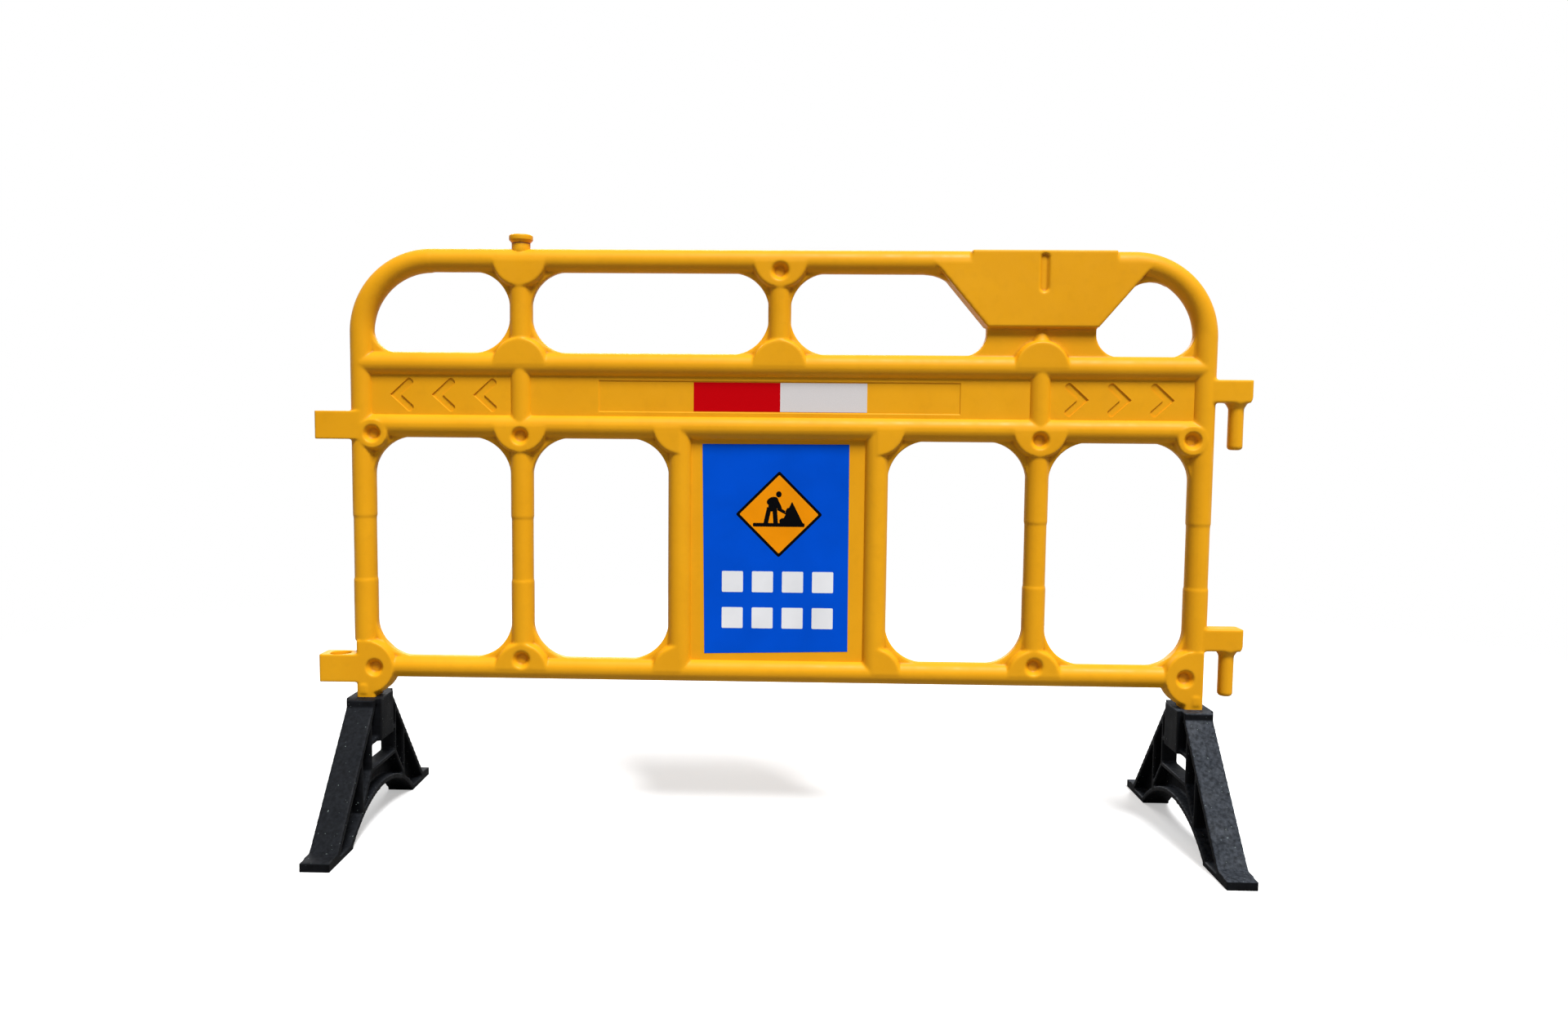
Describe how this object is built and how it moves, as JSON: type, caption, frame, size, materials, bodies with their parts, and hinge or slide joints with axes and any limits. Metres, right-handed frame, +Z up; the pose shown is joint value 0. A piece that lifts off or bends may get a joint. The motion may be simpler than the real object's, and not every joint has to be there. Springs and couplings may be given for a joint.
{
  "type": "plastic safety barrier",
  "caption": "Free-standing plastic crowd and roadworks barrier: hollow tube-frame panel with sign panel, link hooks and lugs, on pull-off A-frame feet.",
  "frame": {"origin": "on the floor, midway between the posts and between the toes", "axes": "+X along the barrier towards the link hooks, -Y to the front (sign side), +Z up"},
  "size_m": [1.618, 0.5, 1.0365],
  "materials": {
    "moulding": "satin yellow polyethylene",
    "cap": "satin yellow polyethylene",
    "seal": "soft orange-red rubber",
    "foot": "speckled black, worn grey on the straps",
    "film_red": "reflective film",
    "film_white": "reflective film",
    "sign": "printed film"
  },
  "bodies": {
    "panel": {"band_bottom_bosses": "moulding", "band_bottom_rail": "moulding", "band_panel_left": "moulding", "band_panel_middle": "moulding", "band_panel_right": "moulding", "band_top_bosses": "moulding", "band_top_rail": "moulding", "band_upright_left": "moulding", "band_upright_right": "moulding", "bottom_rail": "moulding", "bottom_rail_bosses": "moulding", "filler_neck": "moulding", "lamp_plate": "moulding", "lamp_web": "moulding", "left_bend": "moulding", "left_post": "moulding", "left_post_bosses": "moulding", "link_hook_lower": "moulding", "link_hook_upper": "moulding", "link_lug_lower": "moulding", "link_lug_upper": "moulding", "low_upright_left": "moulding", "low_upright_right": "moulding", "low_webs_inner_left": "moulding", "low_webs_inner_right": "moulding", "low_webs_outer_left": "moulding", "low_webs_outer_right": "moulding", "right_bend": "moulding", "right_post": "moulding", "right_post_bosses": "moulding", "sign_film": "sign", "sign_panel": "moulding", "sign_upright_left": "moulding", "sign_upright_right": "moulding", "tape_red": "film_red", "tape_white": "film_white", "top_rail": "moulding", "top_rail_bosses": "moulding", "top_upright_left": "moulding", "top_upright_middle": "moulding", "top_webs_inner_left": "moulding", "top_webs_inner_right": "moulding", "top_webs_outer_left": "moulding", "top_webs_outer_right": "moulding"},
    "left_foot": {"left_foot": "foot"},
    "right_foot": {"right_foot": "foot"},
    "filler_cap": {"filler_cap": "cap", "cap_seal": "seal"}
  },
  "joints": [
    {"name": "left_foot_pull", "type": "slide", "parent": "panel", "child": "left_foot", "axis": [0, 0, 1], "range_m": [-0.075, 0]},
    {"name": "right_foot_pull", "type": "slide", "parent": "panel", "child": "right_foot", "axis": [0, 0, 1], "range_m": [-0.075, 0]},
    {"name": "filler_cap_pull", "type": "slide", "parent": "panel", "child": "filler_cap", "axis": [0, 0, 1], "range_m": [0, 0.02]}
  ]
}
